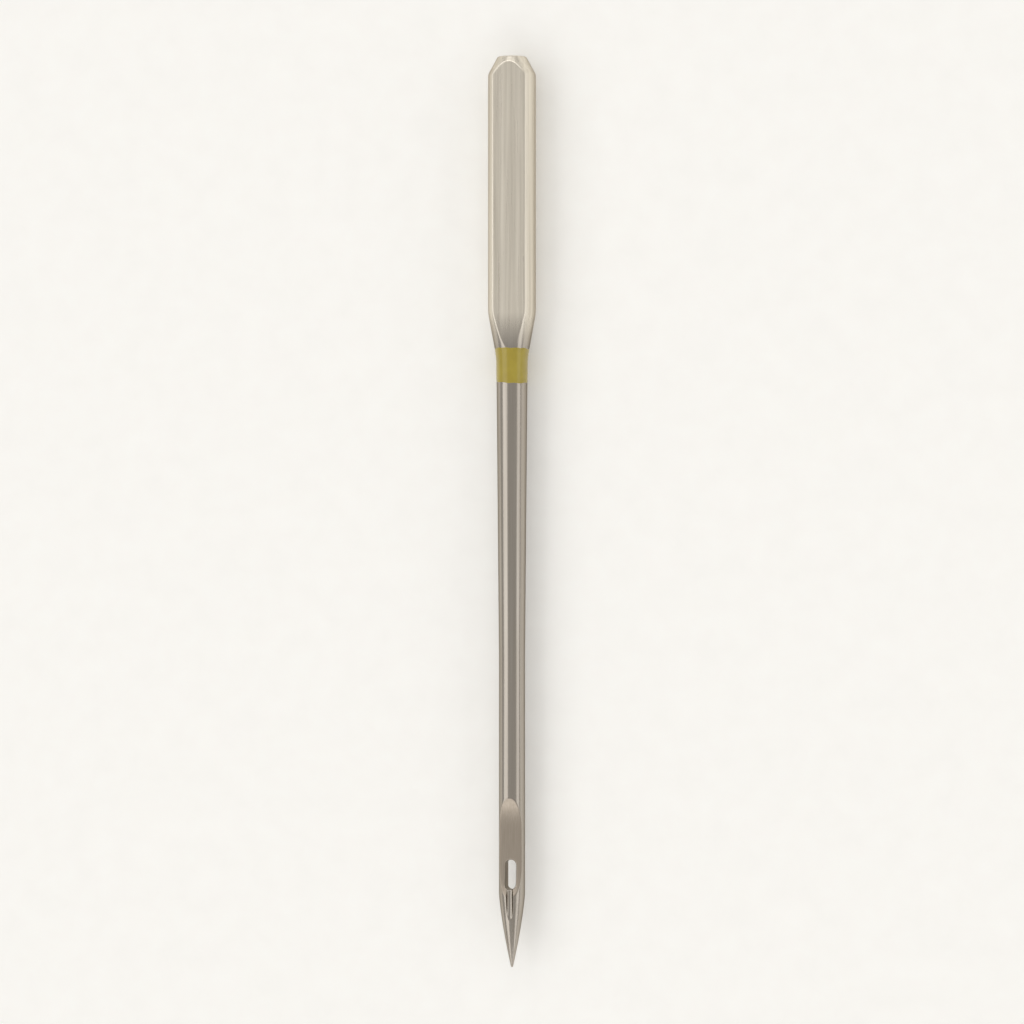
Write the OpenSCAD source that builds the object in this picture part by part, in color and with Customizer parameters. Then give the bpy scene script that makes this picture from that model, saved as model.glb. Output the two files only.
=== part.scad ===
// Sewing machine needle with a flat shank, for household machines, blade size 110.
// It lies along Y: the butt is at the origin, the tip points to -Y and the flat faces +Z.
// The long groove is on the front, which faces -Z. The scarf is on the back, which faces +Z.

/* [Whole needle] */
// Length from the butt to the tip
needle_len = 38.4; // [36:0.1:42]

/* [Shank] */
// Diameter of the shank
shank_d = 2.02; // [1.6:0.01:2.4]
// Length of the shank, butt taper included
shank_len = 10.8; // [8:0.1:12]
// Thickness of the shank over its flat
shank_over_flat = 1.74; // [1.6:0.01:1.9]
// Diameter of the end face of the butt
butt_face_d = 1.2; // [0.8:0.05:1.4]
// Length of the taper at the butt
butt_taper_len = 0.75; // [0.3:0.05:1.2]
// Rounding between the end face of the butt and its taper
butt_edge_r = 0.08; // [0.02:0.01:0.12]
// Rounding between the butt's taper and the shank
butt_round_r = 0.4; // [0.1:0.05:0.5]
// Length of the shoulder between the shank and the blade
shoulder_len = 1.9; // [1:0.1:3]
// Rounding at both ends of the shoulder
shoulder_round_r = 2.4; // [0.5:0.1:4]

/* [Blade] */
// Diameter of the strengthened blade below the shoulder
upper_blade_d = 1.32; // [1.15:0.01:1.45]
// Diameter of the blade at the eye
blade_d = 1.1; // [1:0.01:1.15]
// Length over which the blade narrows from its upper to its lower diameter
blade_taper_len = 12.6; // [8:0.1:16]

/* [Point] */
// Length of the point
point_len = 3.15; // [2.5:0.05:4]
// Fullness of the point: 1 is a straight cone, more is a rounder one
point_fullness = 1.35; // [1.1:0.05:2]
// Radius of the rounded tip
tip_r = 0.05; // [0.03:0.01:0.12]

/* [Eye] */
// Width of the eye
eye_w = 0.46; // [0.36:0.01:0.5]
// Length of the eye
eye_len = 1.25; // [1:0.05:1.5]
// Distance from the lower end of the eye to the tip
eye_to_tip = 3.3; // [3:0.05:3.8]
// How far the mouths of the eye flare on each side
eye_flare = 0.05; // [0.02:0.01:0.07]

/* [Long groove] */
// Width of the long groove
groove_w = 0.42; // [0.3:0.01:0.5]
// Metal left between the needle's axis and the floor of the long groove
groove_floor = 0.15; // [0.1:0.01:0.25]
// Radius of the run-out of the long groove at the shoulder
groove_top_r = 9; // [5:0.5:14]
// Radius of the run-out of the long groove below the eye
groove_end_r = 2; // [1:0.1:3]

/* [Scarf] */
// Depth of the scarf, measured from the surface of the blade
scarf_depth = 0.27; // [0.15:0.01:0.32]
// Length of the scarf along the blade
scarf_len = 4.2; // [3.6:0.1:5]
// How far the scarf runs on below the lower end of the eye
scarf_below_eye = 0.35; // [0.2:0.05:0.6]
// Radius of the wheel that grinds the scarf
scarf_wheel_r = 3.6; // [2.4:0.1:5]
// Width of the short groove that leads out of the eye on the back
short_groove_w = 0.3; // [0.2:0.01:0.4]
// Height of the floor of the short groove above the needle's axis
short_groove_floor = 0.36; // [0.3:0.01:0.42]
// Length of the short groove below the eye, before it runs out
short_groove_len = 0.7; // [0.3:0.1:1]
// Radius of the run-out of the short groove
short_groove_end_r = 2.5; // [1:0.1:5]

/* [Hidden] */
$fn = 96;
arc_steps = 10;
point_steps = 24;
// Extra reach of a cutter beyond the metal
past = 1;
shank_r = shank_d / 2;
upper_blade_r = upper_blade_d / 2;
blade_r = blade_d / 2;
flat_z = shank_over_flat - shank_r;
shoulder_end = shank_len + shoulder_len;
point_start = needle_len - point_len;
eye_end = needle_len - eye_to_tip;
eye_start = eye_end - eye_len;
scarf_end = eye_end + scarf_below_eye;
scarf_start = scarf_end - scarf_len;
scarf_floor = blade_r - scarf_depth;
scarf_run = sqrt(2 * scarf_wheel_r * scarf_depth - pow(scarf_depth, 2));
groove_depth = upper_blade_r - groove_floor;
groove_top_run = sqrt(2 * groove_top_r * groove_depth - pow(groove_depth, 2));
// How far the side of the point leans where the ball of the tip takes over
tip_lean = atan(point_fullness * (blade_r - tip_r) / point_len);

function unit(v) = v / norm(v);

// Points of the shorter arc of radius r about a centre, from point p to point q
function arc_about(centre, r, p, q) =
    let (
        from = atan2(p.y - centre.y, p.x - centre.x),
        to = atan2(q.y - centre.y, q.x - centre.x),
        turn = (to - from + 540) % 360 - 180
    )
    [for (i = [0:arc_steps]) centre + r * [cos(from + turn * i / arc_steps), sin(from + turn * i / arc_steps)]];

// The corner at b, between a and c, rounded to radius r
function round_corner(a, b, c, r) =
    let (
        u = unit(a - b),
        v = unit(c - b),
        half = acos(u * v) / 2,
        centre = b + unit(u + v) * r / sin(half)
    )
    arc_about(centre, r, b + u * r / tan(half), b + v * r / tan(half));

// Points along the side of the point, which starts in line with the blade and gets steeper
function point_side(start, end) =
    [for (i = [0:point_steps])
        let (share = i / point_steps)
        [start.x - (start.x - end.x) * pow(share, point_fullness), start.y + (end.y - start.y) * share]];

// Half of the turned outline, with the radius across and the distance from the butt upwards
module turned_outline() {
    butt_face = [butt_face_d / 2, 0];
    shank_top = [shank_r, butt_taper_len];
    shank_end = [shank_r, shank_len];
    blade_top = [upper_blade_r, shoulder_end];
    taper_end = [blade_r, shoulder_end + blade_taper_len];
    point_top = [blade_r, point_start];
    ball_centre = [0, needle_len - tip_r];
    ball_edge = ball_centre + tip_r * [cos(tip_lean), sin(tip_lean)];
    polygon(concat(
        [[0, 0]],
        round_corner([0, 0], butt_face, shank_top, butt_edge_r),
        round_corner(butt_face, shank_top, shank_end, butt_round_r),
        round_corner(shank_top, shank_end, blade_top, shoulder_round_r),
        round_corner(shank_end, blade_top, taper_end, shoulder_round_r),
        [taper_end],
        point_side(point_top, ball_edge),
        arc_about(ball_centre, tip_r, ball_edge, [0, needle_len])
    ));
}

// Puts what is drawn with its length along +Z onto the needle, from the butt towards the tip
module along_needle() {
    rotate([90, 0, 0])
        children();
}

module flat() {
    translate([-shank_d, -shoulder_end, flat_z])
        cube([2 * shank_d, shoulder_end + past, shank_d]);
}

// A thin grinding wheel with a round rim, lying across X, whose rim comes down to the origin
module groove_wheel(wheel_r, width) {
    translate([0, 0, wheel_r])
        rotate([0, 90, 0])
            rotate_extrude() {
                translate([wheel_r - width / 2, 0])
                    circle(d = width);
                translate([0, -width / 2])
                    square([wheel_r - width / 2, width]);
            }
}

// What a groove wheel sweeps between two distances from the butt
module groove_run(from, to, width) {
    translate([0, -from, 0])
        along_needle()
            linear_extrude(to - from)
                translate([0, width / 2]) {
                    circle(d = width);
                    translate([-width / 2, 0])
                        square([width, shank_r + past]);
                }
}

module long_groove() {
    top = shoulder_end + groove_top_run;
    bottom = eye_end - eye_w / 2;
    mirror([0, 0, 1])
        translate([0, 0, groove_floor]) {
            translate([0, -top, 0])
                groove_wheel(groove_top_r, groove_w);
            groove_run(top, bottom, groove_w);
            translate([0, -bottom, 0])
                groove_wheel(groove_end_r, groove_w);
        }
}

module short_groove() {
    bottom = eye_end + short_groove_len;
    translate([0, 0, short_groove_floor]) {
        groove_run(eye_start, bottom, short_groove_w);
        translate([0, -bottom, 0])
            groove_wheel(short_groove_end_r, short_groove_w);
    }
}

// Side view of the scarf: the grinding wheel at both ends of its travel, and the floor between
module scarf() {
    first = scarf_start + scarf_run;
    last = scarf_end - scarf_run;
    rotate([90, 0, 90])
        linear_extrude(2 * shank_d, center = true)
            translate([0, scarf_floor]) {
                for (place = [first, last])
                    translate([-place, scarf_wheel_r])
                        circle(r = scarf_wheel_r);
                translate([-last, 0])
                    square([last - first, scarf_wheel_r]);
            }
}

// Half of a flared mouth, widening from the eye's own width at z = 0
module flared_mouth() {
    depth = blade_r;
    wide = eye_w / 2 + eye_flare;
    straight = eye_len - eye_w;
    for (place = [0, straight])
        translate([0, -place, 0])
            cylinder(h = depth, r1 = eye_w / 2, r2 = wide);
    rotate([90, 0, 0])
        linear_extrude(straight)
            polygon([[-eye_w / 2, 0], [eye_w / 2, 0], [wide, depth], [-wide, depth]]);
}

module eye() {
    first = eye_start + eye_w / 2;
    last = eye_end - eye_w / 2;
    for (place = [first, last])
        translate([0, -place, -shank_d])
            cylinder(h = 2 * shank_d, d = eye_w);
    translate([-eye_w / 2, -last, -shank_d])
        cube([eye_w, last - first, 2 * shank_d]);
    translate([0, -first, 0])
        flared_mouth();
    translate([0, -first, 0])
        mirror([0, 0, 1])
            flared_mouth();
}

module needle() {
    color([0.78, 0.75, 0.69])
        difference() {
            along_needle()
                rotate_extrude()
                    turned_outline();
            flat();
            long_groove();
            scarf();
            short_groove();
            eye();
        }
}

needle();
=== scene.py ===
"""Looks of a sewing machine needle: a plated steel needle with a painted size band.

The needle lies along Y with its butt at the origin, its tip towards -Y and its flat up.
Sizes of the needle are in millimetres, and MM turns them into metres for Blender. Sizes of the
floor, the lamps, the relief of the materials and the camera's clipping are in metres.
"""

import math

import bpy
import numpy as np
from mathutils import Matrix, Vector


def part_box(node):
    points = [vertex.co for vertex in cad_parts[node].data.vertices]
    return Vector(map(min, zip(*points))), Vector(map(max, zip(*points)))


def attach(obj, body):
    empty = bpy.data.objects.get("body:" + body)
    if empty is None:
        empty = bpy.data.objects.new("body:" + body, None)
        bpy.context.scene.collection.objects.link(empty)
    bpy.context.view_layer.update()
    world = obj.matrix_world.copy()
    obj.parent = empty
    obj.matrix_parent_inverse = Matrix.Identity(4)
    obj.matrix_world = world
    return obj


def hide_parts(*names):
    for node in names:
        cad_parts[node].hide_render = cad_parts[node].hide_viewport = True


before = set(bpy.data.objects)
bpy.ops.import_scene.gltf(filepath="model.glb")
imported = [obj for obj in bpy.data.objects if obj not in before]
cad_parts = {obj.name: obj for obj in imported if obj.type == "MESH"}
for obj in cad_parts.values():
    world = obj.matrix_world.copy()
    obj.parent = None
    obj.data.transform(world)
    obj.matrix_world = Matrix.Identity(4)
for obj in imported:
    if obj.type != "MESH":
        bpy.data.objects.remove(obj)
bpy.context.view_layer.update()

MM = 0.001

# Sizes taken from the frame
LOW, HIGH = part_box("needle")
NEEDLE_LEN = -LOW.y / MM
SHANK_R = -LOW.z / MM
FLAT_Z = HIGH.z / MM

# Turned outline of the blank
SHANK_LEN = 10.8
BUTT_FACE_R = 0.6
BUTT_TAPER_LEN = 0.75
BUTT_EDGE_R = 0.08
BUTT_ROUND_R = 0.4
SHOULDER_END = SHANK_LEN + 1.9
SHOULDER_ROUND_R = 2.4
UPPER_BLADE_R = 0.66
BLADE_R = 0.55
BLADE_TAPER_LEN = 12.6
POINT_LEN = 3.15
POINT_START = NEEDLE_LEN - POINT_LEN
POINT_FULLNESS = 1.35
TIP_R = 0.05

# Eye, whose wall is straight from EYE_FIRST to EYE_LAST and round beyond them
EYE_HALF_W = 0.23
EYE_END = NEEDLE_LEN - 3.3
EYE_START = EYE_END - 1.25
EYE_MOUTH_R = 0.05
EYE_FIRST = EYE_START + EYE_HALF_W
EYE_LAST = EYE_END - EYE_HALF_W
EYE_MIDDLE = (EYE_FIRST + EYE_LAST) / 2

# Long groove on the front, which is wider where it meets the eye
GROOVE_HALF_W = 0.21
GROOVE_HALF_W_AT_EYE = 0.255
GROOVE_WIDE_HALF_LEN = 0.75
GROOVE_WIDE_FADE = 0.5
GROOVE_FLOOR = 0.15
GROOVE_TOP_R = 9
GROOVE_END_R = 2
GROOVE_DEPTH = UPPER_BLADE_R - GROOVE_FLOOR
GROOVE_TOP = SHOULDER_END + math.sqrt(2 * GROOVE_TOP_R * GROOVE_DEPTH - GROOVE_DEPTH ** 2)

# Scarf and short groove on the back
SCARF_DEPTH = 0.27
SCARF_FLOOR = BLADE_R - SCARF_DEPTH
SCARF_WHEEL_R = 3.6
SCARF_END = EYE_END + 0.35
SCARF_START = SCARF_END - 4.2
SCARF_RUN = math.sqrt(2 * SCARF_WHEEL_R * SCARF_DEPTH - SCARF_DEPTH ** 2)
SHORT_GROOVE_HALF_W = 0.15
SHORT_GROOVE_FLOOR = 0.36
SHORT_GROOVE_END = EYE_END + 0.7
SHORT_GROOVE_END_R = 2.5
SHORT_GROOVE_RUN_OUT = EYE_END + 0.9

# Painted band. Its start dips towards the tip on one side, its coat thins out at both edges, and
# its inside lies in the steel. A wave is (height, waves in a turn, phase).
BAND_START = 12.28
BAND_END = 13.75
BAND_DIP = 0.08
BAND_START_WAVES = ((0.015, 3, 1), (0.008, 11, 0))
BAND_END_WAVES = ((0.03, 2, 0.6), (0.01, 9, 2))
BAND_COAT = 0.012
BAND_SINK = 0.5 * BAND_COAT
BAND_SQUARENESS = 8
BAND_MARGIN = 0.3
BAND_SAMPLES = 240
BAND_ROWS = 48

# Points of the outline. The first BUTT_POINTS lie on the butt, where the radius still grows.
# The first and last ring stand round the centres of the butt and the tip.
ARC_STEPS = 24
POINT_STEPS = 160
BUTT_POINTS = 40
BUTT_RING = (0, 0.02)
TIP_RING = (NEEDLE_LEN - 0.0004, 0.006)

# Mesh density
HALF_RING = 80
WALL_ROWS = 16
FAR_STEP = 0.5
GRADING_SAMPLES = 8000

# Points of a half section before it is thinned out to HALF_RING. Its top and bottom are sampled
# across, up to SIDE_ANGLE from the side, and the side itself by angle.
ACROSS_SAMPLES = 500
SIDE_SAMPLES = 200
SIDE_ANGLE = math.asin(0.3)
SAMPLE_STEP = 0.0025
LEAST_SAMPLES = 400

# Blend where the flat or the scarf meets the round side, which is at most a share of the radius
CUT_BLEND = 0.02
CUT_BLEND_SHARE = 0.2

# Rounding of the edges that run lengthwise, left by polishing before the plate. It changes from
# the shank's to the blade's over EDGE_FADE, and is at most a share of the radius. The rounding
# averages over KERNEL_WIDTHS of its size to both sides.
SHANK_EDGE = 0.028
BLADE_EDGE = 0.013
EDGE_FADE = 2
MOST_EDGE_SHARE = 0.12
KERNEL_WIDTHS = 3

# How much closer the points of a section lie where it bends, up to the sharpest bend per mm
BEND_PULL = 0.1
SHARPEST_BEND = 40
BEND_WINDOW = 9

# Rings nearer to the butt than this, and well inside its edge, are plain circles
BUTT_FACE_DEPTH = 0.02

# Where the shank's ground finish and its painted sheen, a paler tint, fade into the polish of the
# shoulder and blade
GRIND_AND_SHEEN_FADE_START = SHANK_LEN
GRIND_AND_SHEEN_FADE_END = SHANK_LEN + 1.4

# The mesh attribute that marks the scarf, and how far its edge reaches down the round side
SCARF_SHARE = "scarf_share"
SCARF_EDGE = 0.02

# The part of a noise's range that its colours and values are spread over
NOISE_LOW = 0.3
NOISE_HIGH = 0.7

# Depth of the relief of the steel and of the paint
STEEL_RELIEF = 0.9e-6
PAINT_RELIEF = 0.8e-6

# Floor, which shows a little brighter than it is lit
FLOOR_HALF = 6
FLOOR_GAP = 2e-6
FLOOR_GLOW = 0.15

# World, as steps of (height of the direction, colour)
HORIZON = (0.01, (0.95, 0.94, 0.9))
SKY = (0.08, (0.53, 0.52, 0.505))

# Lamps, as (name, side, ahead, elevation in degrees, size, radiance)
LAMP_DISTANCE = 3
LAMPS = (
    ("left_lamp", -1, 0, 46, (6, 2), 0.88),
    ("right_lamp", 1, 0, 26, (4, 1.4), 0.66),
    ("tip_lamp", 0, -1, 42, (3, 1.8), 0.95),
    ("butt_lamp", 0, 1, 42, (3, 1.8), 0.95),
)

# The camera looks past the flat, from the side of +X, because the photo's needle is turned so.
# PICTURE is the width and height that it shows at the needle.
VIEW_TURN = math.radians(12)
PICTURE = 43.2
LENS = 150
SENSOR = 36
CLIP = (0.001, 10)


def unit(vector):
    return vector / np.linalg.norm(vector)


def round_corner(before, corner, after, radius):
    """Points of the arc that rounds a corner of the outline, as (distance, radius)."""
    before, corner, after = (np.array(p, float) for p in (before, corner, after))
    u = unit(before - corner)
    v = unit(after - corner)
    half = math.acos(float(u @ v)) / 2
    centre = corner + unit(u + v) * radius / math.sin(half)
    ends = (corner + u * radius / math.tan(half), corner + v * radius / math.tan(half))
    first, last = (math.atan2(*(end - centre)[::-1]) for end in ends)
    turn = (last - first + 3 * math.pi) % (2 * math.pi) - math.pi
    angles = first + turn * np.linspace(0, 1, ARC_STEPS)
    return centre + radius * np.stack([np.cos(angles), np.sin(angles)], 1)


def point_outline():
    """Outline of the slim point and of the ball at its tip, as (distance, radius)."""
    lean = math.atan(POINT_FULLNESS * (BLADE_R - TIP_R) / POINT_LEN)
    ball_centre = NEEDLE_LEN - TIP_R
    ball_edge = (ball_centre + TIP_R * math.sin(lean), TIP_R * math.cos(lean))
    share = np.linspace(0, 1, POINT_STEPS)
    point = np.stack([
        POINT_START + (ball_edge[0] - POINT_START) * share,
        BLADE_R - (BLADE_R - ball_edge[1]) * share ** POINT_FULLNESS,
    ], 1)
    angles = np.linspace(lean, math.pi / 2, ARC_STEPS)[1:-1]
    ball = np.stack([ball_centre + TIP_R * np.sin(angles), TIP_R * np.cos(angles)], 1)
    return np.vstack([point, ball])


def turned_outline():
    """Half outline of the turned blank, as (distance from the butt, radius)."""
    butt_face = (0, BUTT_FACE_R)
    shank_top = (BUTT_TAPER_LEN, SHANK_R)
    shank_end = (SHANK_LEN, SHANK_R)
    blade_top = (SHOULDER_END, UPPER_BLADE_R)
    taper_end = (SHOULDER_END + BLADE_TAPER_LEN, BLADE_R)
    return np.vstack([
        [BUTT_RING],
        round_corner((0, 0), butt_face, shank_top, BUTT_EDGE_R),
        round_corner(butt_face, shank_top, shank_end, BUTT_ROUND_R),
        round_corner(shank_top, shank_end, blade_top, SHOULDER_ROUND_R),
        round_corner(shank_end, blade_top, taper_end, SHOULDER_ROUND_R),
        [taper_end],
        point_outline(),
        [TIP_RING],
    ])


def lengths(points):
    """Length along a line of points, at each of them."""
    return np.concatenate([[0], np.cumsum(np.linalg.norm(np.diff(points, axis=0), axis=1))])


OUTLINE = turned_outline()
OUTLINE_RUN = lengths(OUTLINE)


def outline_at(run):
    """Distance from the butt and radius at a length along the turned outline."""
    distance = np.interp(run, OUTLINE_RUN, OUTLINE[:, 0])
    return distance, np.interp(run, OUTLINE_RUN, OUTLINE[:, 1])


def run_at(distance):
    """Length along the turned outline at a distance from the butt."""
    return float(np.interp(distance, OUTLINE[:, 0], OUTLINE_RUN))


def graded(first, last, events):
    """Stations from first to last, close together at the events and wider away from them.

    An event is (length along the outline, step there, growth of the step with distance).
    """
    fine = np.linspace(first, last, GRADING_SAMPLES)
    step = np.full_like(fine, FAR_STEP)
    for place, near_step, growth in events:
        step = np.minimum(step, near_step + growth * np.abs(fine - place))
    count = np.concatenate([[0], np.cumsum(np.diff(fine) / ((step[1:] + step[:-1]) / 2))])
    places = max(2, int(round(count[-1])) + 1)
    return np.interp(np.linspace(0, count[-1], places), count, fine)


def mesh_events():
    """The places along the outline where the stations lie close together, as graded takes them."""
    flat_top = float(np.interp(FLAT_Z, OUTLINE[:BUTT_POINTS, 1], OUTLINE_RUN[:BUTT_POINTS]))
    after_shank = OUTLINE[:, 0] > SHANK_LEN
    falling = OUTLINE[after_shank]
    flat_end = float(np.interp(-FLAT_Z, -falling[:, 1], OUTLINE_RUN[after_shank]))
    return [
        (run_at(0) + BUTT_FACE_R, 0.012, 0.2),
        (flat_top, 0.008, 0.16),
        (run_at(BUTT_TAPER_LEN), 0.04, 0.2),
        (run_at(SHANK_LEN), 0.08, 0.12),
        (flat_end, 0.012, 0.14),
        (run_at(SHOULDER_END), 0.02, 0.1),
        (run_at(GROOVE_TOP), 0.1, 0.15),
        (run_at(SCARF_START), 0.012, 0.1),
        (run_at(SCARF_START + SCARF_RUN), 0.05, 0.1),
        (run_at(EYE_START), 0.0025, 0.14),
        (run_at(EYE_FIRST), 0.02, 0.1),
        (run_at(EYE_LAST), 0.02, 0.1),
        (run_at(EYE_END), 0.0025, 0.14),
        (run_at(SCARF_END), 0.015, 0.1),
        (run_at(SHORT_GROOVE_RUN_OUT), 0.02, 0.08),
        (run_at(NEEDLE_LEN - TIP_R), 0.006, 0.12),
        (OUTLINE_RUN[-1], 0.003, 0.2),
    ]


def stations():
    """Lengths along the outline where the needle has a cross-section.

    With them come the numbers of the stations at the eye's start and end.
    """
    events = mesh_events()
    eye_first = run_at(EYE_START)
    eye_last = run_at(EYE_END)
    above = graded(0, eye_first, events)
    beside = graded(eye_first, eye_last, events)
    below = graded(eye_last, OUTLINE_RUN[-1], events)
    runs = np.concatenate([above, beside[1:], below[1:]])
    return runs, len(above) - 1, len(above) + len(beside) - 2


def smooth_min(a, b, reach):
    """The lower of two heights, blended where they are closer than reach."""
    share = np.clip(0.5 + 0.5 * (b - a) / reach, 0, 1)
    return b + (a - b) * share - reach * share * (1 - share)


def wheel_rise(radius, away):
    """How far a wheel's rim has lifted off its floor at a distance away from its lowest point."""
    if away <= 0:
        return 0
    if away >= radius:
        return math.inf
    return radius - math.sqrt(radius ** 2 - away ** 2)


def cut_level(distance):
    """Height that the flat or the scarf leaves at a distance from the butt."""
    if distance < (SHOULDER_END + SCARF_START) / 2:
        return FLAT_Z
    first = SCARF_START + SCARF_RUN
    last = SCARF_END - SCARF_RUN
    away = max(first - distance, distance - last, 0)
    return SCARF_FLOOR + wheel_rise(SCARF_WHEEL_R, away)


def groove_surface(x, floor, half_w):
    """Height of a round-bottomed groove across its width, measured away from the axis."""
    inside = np.abs(x) <= half_w
    return np.where(inside, floor + half_w - np.sqrt(np.maximum(half_w ** 2 - x ** 2, 0)), np.inf)


def eased(value):
    """Turns 0 to 1 into a smooth step."""
    value = min(max(value, 0), 1)
    return value * value * (3 - 2 * value)


def front_groove(distance):
    """Depth of the long groove's floor below the axis, and half its width."""
    floor = GROOVE_FLOOR + wheel_rise(GROOVE_TOP_R, GROOVE_TOP - distance)
    floor += wheel_rise(GROOVE_END_R, distance - EYE_LAST)
    past_wide = abs(distance - EYE_MIDDLE) - GROOVE_WIDE_HALF_LEN
    near_eye = 1 - eased(past_wide / GROOVE_WIDE_FADE)
    return floor, GROOVE_HALF_W + (GROOVE_HALF_W_AT_EYE - GROOVE_HALF_W) * near_eye


def back_groove(distance):
    """Height of the short groove's floor above the axis."""
    if distance < EYE_START:
        return math.inf
    return SHORT_GROOVE_FLOOR + wheel_rise(SHORT_GROOVE_END_R, distance - SHORT_GROOVE_END)


def section_top(distance, radius, x, round_z):
    """Heights of the section's top at x, with the flat or scarf and the short groove cut in."""
    top = round_z
    level = cut_level(distance)
    reach = min(CUT_BLEND, CUT_BLEND_SHARE * radius)
    if level < radius + reach:
        top = smooth_min(round_z, level, reach)
    floor = back_groove(distance)
    if floor < radius:
        top = np.minimum(top, groove_surface(x, floor, SHORT_GROOVE_HALF_W))
    return top


def section_bottom(distance, radius, x, round_z):
    """Depths of the section's bottom at x, with the long groove cut in."""
    floor, half_w = front_groove(distance)
    if floor < radius:
        return np.minimum(round_z, groove_surface(x, floor, half_w))
    return round_z


def raw_half_section(distance, radius):
    """Sharp outline of half the cross-section, from the top centre round to the bottom centre."""
    x = radius * math.cos(SIDE_ANGLE) * np.sin(np.linspace(0, math.pi / 2, ACROSS_SAMPLES))
    round_z = np.sqrt(radius ** 2 - x ** 2)
    top = section_top(distance, radius, x, round_z)
    bottom = section_bottom(distance, radius, x, round_z)
    angles = np.linspace(SIDE_ANGLE, -SIDE_ANGLE, SIDE_SAMPLES)[1:-1]
    side = np.stack([radius * np.cos(angles), radius * np.sin(angles)], 1)
    return np.vstack([np.stack([x, top], 1), side, np.stack([x, -bottom], 1)[::-1]])


def resampled(points, places, new_places):
    """The line of points that has its points at new_places instead of places."""
    return np.stack([np.interp(new_places, places, points[:, i]) for i in range(2)], 1)


def softened(points, reach):
    """The half outline with its corners rounded, by averaging along its length."""
    places = lengths(points)
    count = max(LEAST_SAMPLES, int(places[-1] / SAMPLE_STEP))
    even = resampled(points, places, np.linspace(0, places[-1], count))
    step = places[-1] / (count - 1)
    arm = min(count - 2, int(KERNEL_WIDTHS * reach / step) + 1)
    mirror = np.array([-1, 1])
    whole = np.vstack([even[arm:0:-1] * mirror, even, even[-2:-arm - 2:-1] * mirror])
    kernel = np.exp(-0.5 * (np.arange(-arm, arm + 1) * step / reach) ** 2)
    kernel /= kernel.sum()
    return np.stack([np.convolve(whole[:, i], kernel, "valid") for i in range(2)], 1)


def past_eye_middle(distance):
    """How far a distance from the butt lies beyond the straight part of the eye's wall."""
    return max(EYE_FIRST - distance, distance - EYE_LAST, 0)


def with_mouths(points, away):
    """The half outline with the eye's rounded mouths pressed into its top and bottom."""
    outside = np.hypot(points[:, 0], away) - EYE_HALF_W
    inward = np.clip(EYE_MOUTH_R - np.maximum(outside, 0), 0, EYE_MOUTH_R)
    drop = EYE_MOUTH_R - np.sqrt(EYE_MOUTH_R ** 2 - inward ** 2)
    middle = int(np.argmax(points[:, 0]))
    points = points.copy()
    points[:middle, 1] -= drop[:middle]
    points[middle:, 1] += drop[middle:]
    return points


def with_eye(points, distance):
    """The half outline with the eye's rounded mouths, cut off at the eye's wall."""
    away = past_eye_middle(distance)
    if away >= EYE_HALF_W + EYE_MOUTH_R:
        return points
    points = with_mouths(points, away)
    wall = math.sqrt(max(EYE_HALF_W ** 2 - away ** 2, 0))
    if wall == 0:
        return points
    first = int(np.argmax(points[:, 0] >= wall))
    last = len(points) - 1 - int(np.argmax(points[::-1, 0] >= wall))
    top_z = np.interp(wall, points[first - 1:first + 1, 0], points[first - 1:first + 1, 1])
    low = points[last:last + 2][::-1]
    bottom_z = np.interp(wall, low[:, 0], low[:, 1])
    return np.vstack([[(wall, top_z)], points[first:last + 1], [(wall, bottom_z)]])


def spread(points):
    """HALF_RING points along a half outline, closer together where it bends."""
    places = lengths(points)
    heading = np.unwrap(np.arctan2(*np.diff(points, axis=0).T[::-1]))
    middles = (places[1:] + places[:-1]) / 2
    bend = np.abs(np.gradient(heading, middles))
    window = np.ones(BEND_WINDOW) / BEND_WINDOW
    bend = np.convolve(np.minimum(bend, SHARPEST_BEND), window, "same")
    weight = np.concatenate([[0], np.cumsum(np.diff(places) * (1 + BEND_PULL * bend))])
    new_places = np.interp(np.linspace(0, weight[-1], HALF_RING), weight, places)
    return resampled(points, places, new_places)


def half_section(distance, radius):
    """HALF_RING points of the finished half outline, as (across, up)."""
    edge = SHANK_EDGE + (BLADE_EDGE - SHANK_EDGE) * eased((distance - SHANK_LEN) / EDGE_FADE)
    points = softened(raw_half_section(distance, radius), min(edge, MOST_EDGE_SHARE * radius))
    points[[0, -1], 0] = 0
    return spread(with_eye(points, distance))


def half_circle(radius):
    """HALF_RING points of half a circle, from its top to its bottom."""
    angles = np.linspace(math.pi / 2, -math.pi / 2, HALF_RING)
    return radius * np.stack([np.cos(angles), np.sin(angles)], 1)


def half_skin():
    """The right half of the needle's surface, as stations by points by coordinates.

    With it come the numbers of the stations at the eye's start and end.
    """
    runs, eye_first, eye_last = stations()
    rows = []
    for distance, radius in zip(*outline_at(runs)):
        if distance < BUTT_FACE_DEPTH and radius < BUTT_FACE_R - 2 * BUTT_EDGE_R:
            section = half_circle(radius)
        else:
            section = half_section(distance, radius)
        rows.append(np.stack([section[:, 0], np.full(HALF_RING, -distance), section[:, 1]], 1))
    return np.array(rows), eye_first, eye_last


def new_piece(name, points, faces):
    """A smooth mesh object from points in millimetres. Points that no face uses are left out."""
    used = sorted({corner for face in faces for corner in face})
    place = {old: new for new, old in enumerate(used)}
    mesh = bpy.data.meshes.new(name)
    mesh.from_pydata(
        [tuple(points[i] * MM) for i in used],
        [],
        [[place[corner] for corner in face] for face in faces],
    )
    mesh.validate()
    mesh.polygons.foreach_set("use_smooth", [True] * len(mesh.polygons))
    mesh.update()
    piece = bpy.data.objects.new(name, mesh)
    bpy.context.scene.collection.objects.link(piece)
    return piece


def quads(index, flip=False):
    """Faces of a grid of point numbers."""
    faces = []
    for row, below in zip(index[:-1], index[1:]):
        for i in range(len(row) - 1):
            face = [row[i], below[i], below[i + 1], row[i + 1]]
            faces.append([int(c) for c in (face[::-1] if flip else face)])
    return faces


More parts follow.
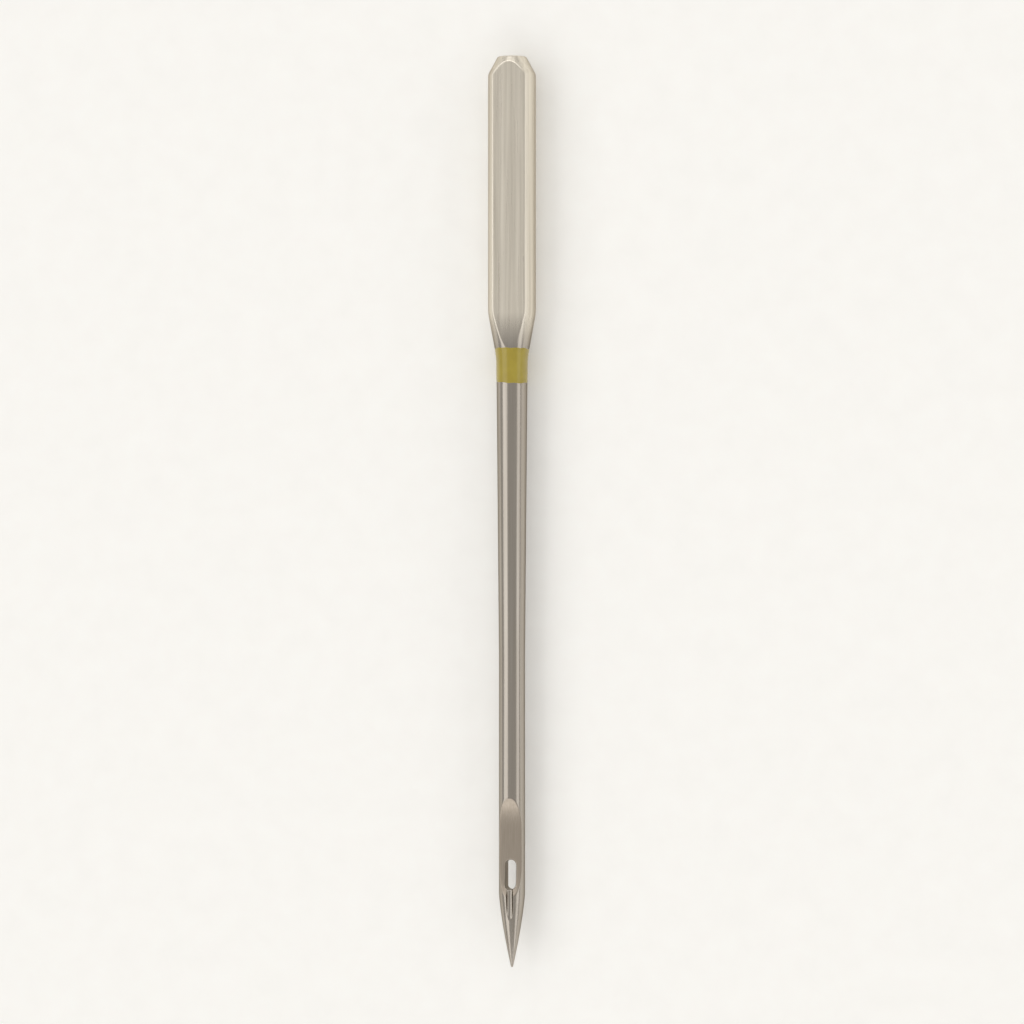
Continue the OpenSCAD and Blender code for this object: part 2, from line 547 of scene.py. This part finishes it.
def end_fans(butt_centre, right_index, left_index):
    """Triangles that close the butt and the tip. The tip's centre comes right after the butt's."""
    tip_centre = butt_centre + 1
    faces = []
    for i in range(HALF_RING - 1):
        faces.append([butt_centre, int(right_index[0, i]), int(right_index[0, i + 1])])
        faces.append([butt_centre, int(left_index[0, i + 1]), int(left_index[0, i])])
        faces.append([tip_centre, int(right_index[-1, i + 1]), int(right_index[-1, i])])
        faces.append([tip_centre, int(left_index[-1, i]), int(left_index[-1, i + 1])])
    return faces


def eye_wall(low, high):
    """Points across the right half of the eye's wall, between its lower and its upper edge."""
    share = np.linspace(0, 1, WALL_ROWS + 2)[1:-1, None]
    return np.array([a + (b - a) * share for a, b in zip(low, high)])


def build_needle():
    """The whole needle as one closed mesh, with the eye open from side to side."""
    right, eye_first, eye_last = half_skin()
    rows = len(right)
    right_index = np.arange(rows * HALF_RING).reshape(rows, HALF_RING)
    left_index = right_index + rows * HALF_RING
    for row in range(rows):
        if not eye_first < row < eye_last:
            left_index[row, [0, -1]] = right_index[row, [0, -1]]
    eye = slice(eye_first, eye_last + 1)
    wall = eye_wall(right[eye, -1], right[eye, 0])
    wall_points = wall[..., 0].size
    wall_index = 2 * rows * HALF_RING + np.arange(wall_points).reshape(wall.shape[:2])
    other_index = wall_index + wall_points
    other_index[[0, -1]] = wall_index[[0, -1]]
    mirror = np.array([-1, 1, 1])
    points = np.vstack([
        right.reshape(-1, 3),
        (right * mirror).reshape(-1, 3),
        wall.reshape(-1, 3),
        (wall * mirror).reshape(-1, 3),
        [(0, 0, 0), (0, -NEEDLE_LEN, 0)],
    ])
    right_wall = np.hstack([right_index[eye, -1:], wall_index, right_index[eye, :1]])
    left_wall = np.hstack([left_index[eye, -1:], other_index, left_index[eye, :1]])
    faces = quads(right_index) + quads(left_index, flip=True)
    faces += quads(right_wall) + quads(left_wall, flip=True)
    faces += end_fans(len(points) - 2, right_index, left_index)
    return new_piece("steel_needle", points, faces)


def wavy(edge, angle, waves):
    """An edge of the band with its waves, at each angle round the needle."""
    for height, count, phase in waves:
        edge = edge + height * np.sin(count * angle + phase)
    return edge


def band_surface():
    """The steel under the band: distances, sections there and their outward directions."""
    fine = np.linspace(BAND_START - BAND_MARGIN, BAND_END + BAND_MARGIN, BAND_SAMPLES)
    radii = outline_at([run_at(d) for d in fine])[1]
    halves = np.array([half_section(d, r) for d, r in zip(fine, radii)])
    left = halves[:, -2:0:-1] * np.array([-1, 1])
    rings = np.concatenate([halves, left], 1)
    along = np.roll(rings, -1, 1) - np.roll(rings, 1, 1)
    outward = np.stack([-along[..., 1], along[..., 0]], 2)
    outward /= np.linalg.norm(outward, axis=2, keepdims=True)
    return fine, rings, outward


def build_band():
    """The painted size band: a thin closed coat round the end of the shoulder."""
    fine, rings, outward = band_surface()
    columns = rings.shape[1]
    angle = np.linspace(0, 2 * math.pi, columns, endpoint=False)
    start = wavy(BAND_START + BAND_DIP - BAND_DIP * np.cos(angle), angle, BAND_START_WAVES)
    end = wavy(BAND_END, angle, BAND_END_WAVES)
    shares = (1 - np.cos(np.linspace(0, math.pi, BAND_ROWS))) / 2
    outside = [(s, BAND_COAT * (1 - abs(2 * s - 1) ** BAND_SQUARENESS) ** 0.5) for s in shares]
    inside = [(s, -BAND_SINK) for s in shares[::-1]]
    points = []
    for share, height in outside + inside:
        distance = start + (end - start) * share
        base = np.array([
            [np.interp(distance[c], fine, rings[:, c, i] + height * outward[:, c, i])
             for i in range(2)]
            for c in range(columns)
        ])
        points.append(np.stack([base[:, 0], -distance, base[:, 1]], 1))
    grid = np.arange(2 * BAND_ROWS * columns).reshape(2 * BAND_ROWS, columns)
    closed = np.vstack([grid, grid[:1]])
    closed = np.hstack([closed, closed[:, :1]])
    return new_piece("size_band", np.vstack(points), quads(closed))


def nodes_of(name):
    """A new material with its node tree and its principled shader."""
    material = bpy.data.materials.new(name)
    material.use_nodes = True
    tree = material.node_tree
    return material, tree, tree.nodes["Principled BSDF"]


def lengthwise_noise(tree, across, along, detail=4.0):
    """Noise of a number of features per metre, across and along the needle."""
    place = tree.nodes.new("ShaderNodeTexCoord")
    stretch = tree.nodes.new("ShaderNodeMapping")
    stretch.inputs["Scale"].default_value = (across, along, across)
    noise = tree.nodes.new("ShaderNodeTexNoise")
    noise.inputs["Scale"].default_value = 1.0
    noise.inputs["Detail"].default_value = detail
    tree.links.new(place.outputs["Object"], stretch.inputs["Vector"])
    tree.links.new(stretch.outputs["Vector"], noise.inputs["Vector"])
    return noise.outputs["Fac"]


def ramp(tree, value, low, high):
    """Colours that follow a value, from a low to a high step of (value, colour)."""
    colours = tree.nodes.new("ShaderNodeValToRGB")
    for element, (place, colour) in zip(colours.color_ramp.elements, (low, high)):
        element.position = place
        element.color = (*colour, 1)
    tree.links.new(value, colours.inputs["Fac"])
    return colours.outputs["Color"]


def tinted(tree, noise, dark, light):
    """Colours between dark and light, following a noise."""
    return ramp(tree, noise, (NOISE_LOW, dark), (NOISE_HIGH, light))


def spanned(tree, value, low, high, first=NOISE_LOW, last=NOISE_HIGH):
    """A value that runs from first to last, spread over low to high and held there."""
    span = tree.nodes.new("ShaderNodeMapRange")
    span.inputs["From Min"].default_value = first
    span.inputs["From Max"].default_value = last
    span.inputs["To Min"].default_value = low
    span.inputs["To Max"].default_value = high
    tree.links.new(value, span.inputs["Value"])
    return span.outputs["Result"]


def mixed(tree, share, one, other, kind):
    """The one where the share is 0, the other where it is 1."""
    mix = tree.nodes.new("ShaderNodeMix")
    mix.data_type = kind
    first, second = [socket for socket in mix.inputs if socket.enabled and socket.name in "AB"]
    tree.links.new(share, mix.inputs["Factor"])
    tree.links.new(one, first)
    tree.links.new(other, second)
    return next(socket for socket in mix.outputs if socket.enabled)


def bumped(tree, shader, value, depth):
    """Relief of a real depth."""
    bump = tree.nodes.new("ShaderNodeBump")
    bump.inputs["Distance"].default_value = depth
    tree.links.new(value, bump.inputs["Height"])
    tree.links.new(bump.outputs["Normal"], shader.inputs["Normal"])


def seen_directly(tree, amount):
    """The amount for rays that show a surface, straight or by reflection, and 0 for the rest."""
    rays = tree.nodes.new("ShaderNodeLightPath")
    total = rays.outputs["Is Camera Ray"]
    for kind in ("Is Glossy Ray", "Is Transmission Ray"):
        either = tree.nodes.new("ShaderNodeMath")
        either.operation = "MAXIMUM"
        tree.links.new(total, either.inputs[0])
        tree.links.new(rays.outputs[kind], either.inputs[1])
        total = either.outputs["Value"]
    scaled = tree.nodes.new("ShaderNodeMath")
    scaled.operation = "MULTIPLY"
    scaled.inputs[1].default_value = amount
    tree.links.new(total, scaled.inputs[0])
    return scaled.outputs["Value"]


def ground_shank_with_painted_sheen(tree):
    """Tint, roughness and relief of the shank: satin, with fine lengthwise grinding marks, and a
    tint painted paler than the blade's as painted sheen.
    """
    marks = lengthwise_noise(tree, 14000, 250, 3)
    streaks = lengthwise_noise(tree, 5500, 70, 3)
    # The shank's tint is painted about twice as pale as the blade's: painted sheen on the satin
    # shank. Its streaks are random tone.
    tint = tinted(tree, streaks, (0.67, 0.615, 0.52), (0.9, 0.835, 0.72))
    return tint, spanned(tree, marks, 0.38, 0.26), spanned(tree, marks, 0, 1)


def polished_blade(tree):
    """Tint, roughness and relief of the blade: glossy, with faint lengthwise polishing marks."""
    marks = lengthwise_noise(tree, 9000, 150)
    tint = tinted(tree, marks, (0.41, 0.37, 0.32), (0.47, 0.43, 0.38))
    return tint, spanned(tree, marks, 0.2, 0.13), spanned(tree, marks, 0, 0.2)


def ground_scarf_with_painted_shade(tree):
    """Tint, roughness and relief of the scarf: less glossy, with the marks of its wheel, and a
    tint painted darker and browner than the blade's as painted shade in its recess.
    """
    marks = lengthwise_noise(tree, 26000, 900)
    # The scarf's tint is painted darker and browner than the blade's: painted shade in the recess.
    tint = tinted(tree, marks, (0.38, 0.325, 0.265), (0.44, 0.38, 0.315))
    return tint, spanned(tree, marks, 0.4, 0.33), spanned(tree, marks, 0, 0.4)


def turned_tangent(tree, shader):
    """Highlights drawn out round the needle, across its lengthwise marks."""
    shader.inputs["Anisotropic"].default_value = 0.4
    tangent = tree.nodes.new("ShaderNodeTangent")
    tangent.direction_type = "RADIAL"
    tangent.axis = "Y"
    tree.links.new(tangent.outputs["Tangent"], shader.inputs["Tangent"])


def share_on_shank(tree):
    """1 on the shank, 0 on the blade, and a fade between them."""
    place = tree.nodes.new("ShaderNodeTexCoord")
    parts = tree.nodes.new("ShaderNodeSeparateXYZ")
    tree.links.new(place.outputs["Object"], parts.inputs["Vector"])
    return spanned(tree, parts.outputs["Y"], 0, 1, -GRIND_AND_SHEEN_FADE_END * MM, -GRIND_AND_SHEEN_FADE_START * MM)


def plated_steel():
    """Nickel plate, ground under the plate on the shank and in the scarf, polished elsewhere, with
    painted sheen in the shank's paler tint and painted shade in the scarf's darker tint.
    """
    material, tree, shader = nodes_of("plated_steel")
    shader.inputs["Metallic"].default_value = 1
    # The edge tint darkens the reflection at grazing angles: partly the metal's own dip there, and
    # partly painted shade on the needle's rims.
    shader.inputs["Specular Tint"].default_value = (0.45, 0.42, 0.38, 1)
    turned_tangent(tree, shader)
    on_shank = share_on_shank(tree)
    scarf_share = tree.nodes.new("ShaderNodeAttribute")
    scarf_share.attribute_name = SCARF_SHARE
    in_scarf = scarf_share.outputs["Fac"]
    kinds = ("RGBA", "FLOAT", "FLOAT")
    # The tints mixed here carry painted sheen on the shank and painted shade in the scarf.
    finishes_and_painted_light = zip(polished_blade(tree), ground_shank_with_painted_sheen(tree), ground_scarf_with_painted_shade(tree), kinds)
    tint, roughness, relief = (
        mixed(tree, in_scarf, mixed(tree, on_shank, blade, shank, kind), scarf, kind)
        for blade, shank, scarf, kind in finishes_and_painted_light
    )
    tree.links.new(tint, shader.inputs["Base Color"])
    tree.links.new(roughness, shader.inputs["Roughness"])
    bumped(tree, shader, relief, STEEL_RELIEF)
    return material


def band_paint():
    """Glossy mustard paint, a little uneven."""
    material, tree, shader = nodes_of("band_paint")
    shader.inputs["Coat Weight"].default_value = 0.6
    shader.inputs["Coat Roughness"].default_value = 0.08
    patches = lengthwise_noise(tree, 1500, 1200, 2)
    tint = tinted(tree, patches, (0.34, 0.255, 0.018), (0.4, 0.31, 0.03))
    tree.links.new(tint, shader.inputs["Base Color"])
    tree.links.new(spanned(tree, patches, 0.34, 0.28), shader.inputs["Roughness"])
    bumped(tree, shader, lengthwise_noise(tree, 6000, 5000, 2), PAINT_RELIEF)
    return material


def dress_needle(piece):
    """One plate all over. Each point says how much of the scarf's finish and painted shade it has.
    """
    piece.data.materials.append(plated_steel())
    share = piece.data.attributes.new(SCARF_SHARE, "FLOAT", "POINT")
    for point, value in zip(piece.data.vertices, share.data):
        distance = -point.co.y / MM
        if SCARF_START < distance < SCARF_END:
            gap = cut_level(distance) - point.co.z / MM
            value.value = 1 - eased(gap / SCARF_EDGE)


def floor_paper():
    """Plain pale paper with a faint grain."""
    material, tree, shader = nodes_of("floor_paper")
    grain = lengthwise_noise(tree, 900, 900)
    tint = tinted(tree, grain, (0.86, 0.85, 0.82), (0.88, 0.87, 0.84))
    tree.links.new(tint, shader.inputs["Base Color"])
    shader.inputs["Roughness"].default_value = 0.9
    shader.inputs["Specular IOR Level"].default_value = 0.2
    tree.links.new(tint, shader.inputs["Emission Color"])
    tree.links.new(seen_directly(tree, FLOOR_GLOW), shader.inputs["Emission Strength"])
    return material


def build_floor():
    """A plain pale floor that the needle's round side rests on."""
    under = LOW.z - FLOOR_GAP
    corners = [
        (-FLOOR_HALF, -FLOOR_HALF, under),
        (FLOOR_HALF, -FLOOR_HALF, under),
        (FLOOR_HALF, FLOOR_HALF, under),
        (-FLOOR_HALF, FLOOR_HALF, under),
    ]
    mesh = bpy.data.meshes.new("floor")
    mesh.from_pydata(corners, [], [(0, 1, 2, 3)])
    mesh.materials.append(floor_paper())
    floor = bpy.data.objects.new("floor", mesh)
    bpy.context.scene.collection.objects.link(floor)


def build_world():
    """A plain studio, paler at the horizon so that it meets the floor."""
    world = bpy.data.worlds.new("studio")
    bpy.context.scene.world = world
    world.use_nodes = True
    tree = world.node_tree
    background = tree.nodes["Background"]
    place = tree.nodes.new("ShaderNodeTexCoord")
    parts = tree.nodes.new("ShaderNodeSeparateXYZ")
    tree.links.new(place.outputs["Generated"], parts.inputs["Vector"])
    tree.links.new(ramp(tree, parts.outputs["Z"], HORIZON, SKY), background.inputs["Color"])
    background.inputs["Strength"].default_value = 1.0


def add_lamp(name, side, ahead, elevation, size, radiance):
    """A soft rectangular lamp that shines on the middle of the needle.

    side and ahead give its direction in plan.
    """
    lamp = bpy.data.lights.new(name, "AREA")
    lamp.shape = "RECTANGLE"
    lamp.size, lamp.size_y = size
    lamp.energy = radiance * math.pi * size[0] * size[1]
    holder = bpy.data.objects.new(name, lamp)
    bpy.context.scene.collection.objects.link(holder)
    level = math.cos(math.radians(elevation))
    direction = Vector((side * level, ahead * level, math.sin(math.radians(elevation))))
    holder.location = Vector((0, LOW.y / 2, 0)) + LAMP_DISTANCE * direction
    holder.rotation_euler = (-direction).to_track_quat("-Z", "Y").to_euler()


def build_camera():
    """Above the needle, turned to the side like the photo, with the butt at the picture's top."""
    camera = bpy.data.cameras.new("camera")
    camera.lens = LENS
    camera.sensor_width = SENSOR
    camera.clip_start, camera.clip_end = CLIP
    holder = bpy.data.objects.new("camera", camera)
    bpy.context.scene.collection.objects.link(holder)
    away = PICTURE * MM * camera.lens / camera.sensor_width
    holder.location = (away * math.sin(VIEW_TURN), LOW.y / 2, away * math.cos(VIEW_TURN))
    holder.rotation_euler = (0, VIEW_TURN, 0)
    bpy.context.scene.camera = holder


build_camera()

needle = build_needle()
dress_needle(needle)
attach(needle, "root")
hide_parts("needle")

band = build_band()
band.data.materials.append(band_paint())
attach(band, "root")

build_floor()
build_world()
for lamp_values in LAMPS:
    add_lamp(*lamp_values)
bpy.context.scene.view_settings.view_transform = "Standard"
